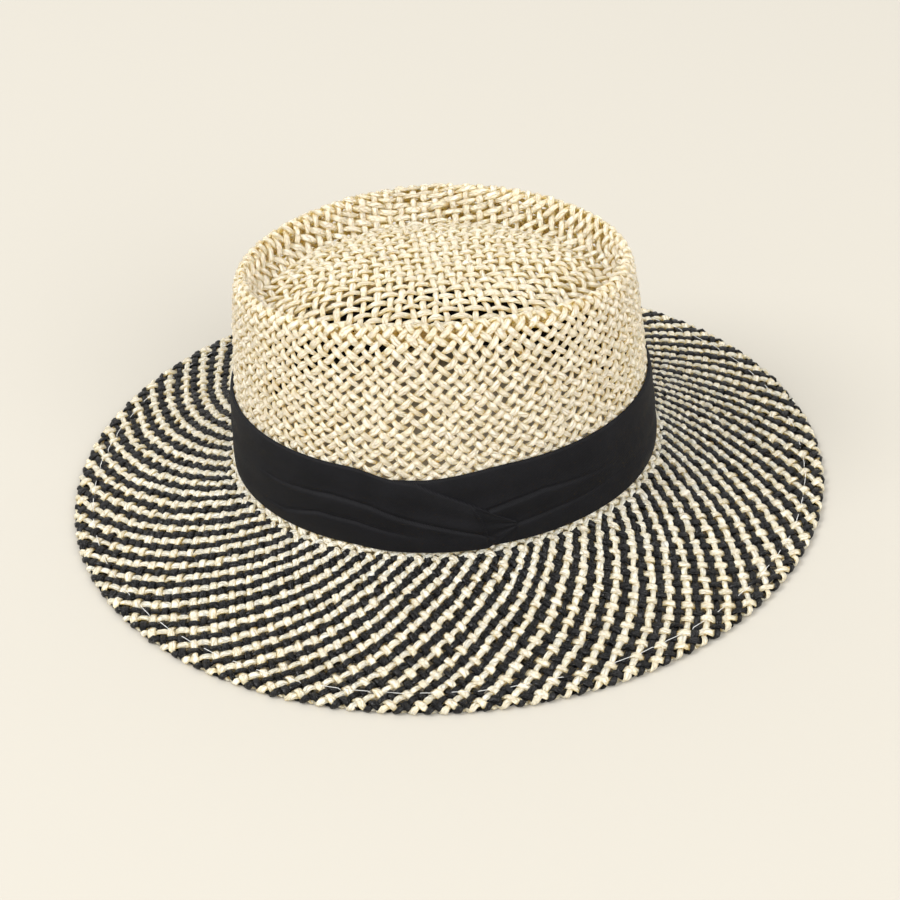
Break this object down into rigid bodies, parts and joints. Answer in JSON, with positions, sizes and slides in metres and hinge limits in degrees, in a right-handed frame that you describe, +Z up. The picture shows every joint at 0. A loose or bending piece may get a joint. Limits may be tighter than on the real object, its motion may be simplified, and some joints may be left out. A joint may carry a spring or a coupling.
{
  "type": "straw telescope-crown hat with pleated band",
  "caption": "Wide-brimmed woven straw hat with an oval telescope crown, a two-tone striped brim and a pleated black band.",
  "frame": {"origin": "middle of the footprint, on the surface that the hem rests on", "axes": "+X along the head from its front to its back, +Y across the head to the wearer's right, +Z up through the crown"},
  "size_m": [0.3642, 0.3322, 0.1243],
  "materials": {
    "natural_straw": "matte paper straw, plain weave with open holes, slightly creased strands",
    "two_tone_straw": "natural and black paper straw woven in spiral stripes, the black with a soft sheen",
    "band_twill": "matte black twill cloth in soft pleats",
    "sweat_tape": "matte black woven tape"
  },
  "bodies": {
    "root": {"crown": "natural_straw", "brim": "two_tone_straw", "hat_band": "band_twill", "sweatband": "sweat_tape"}
  },
  "joints": []
}
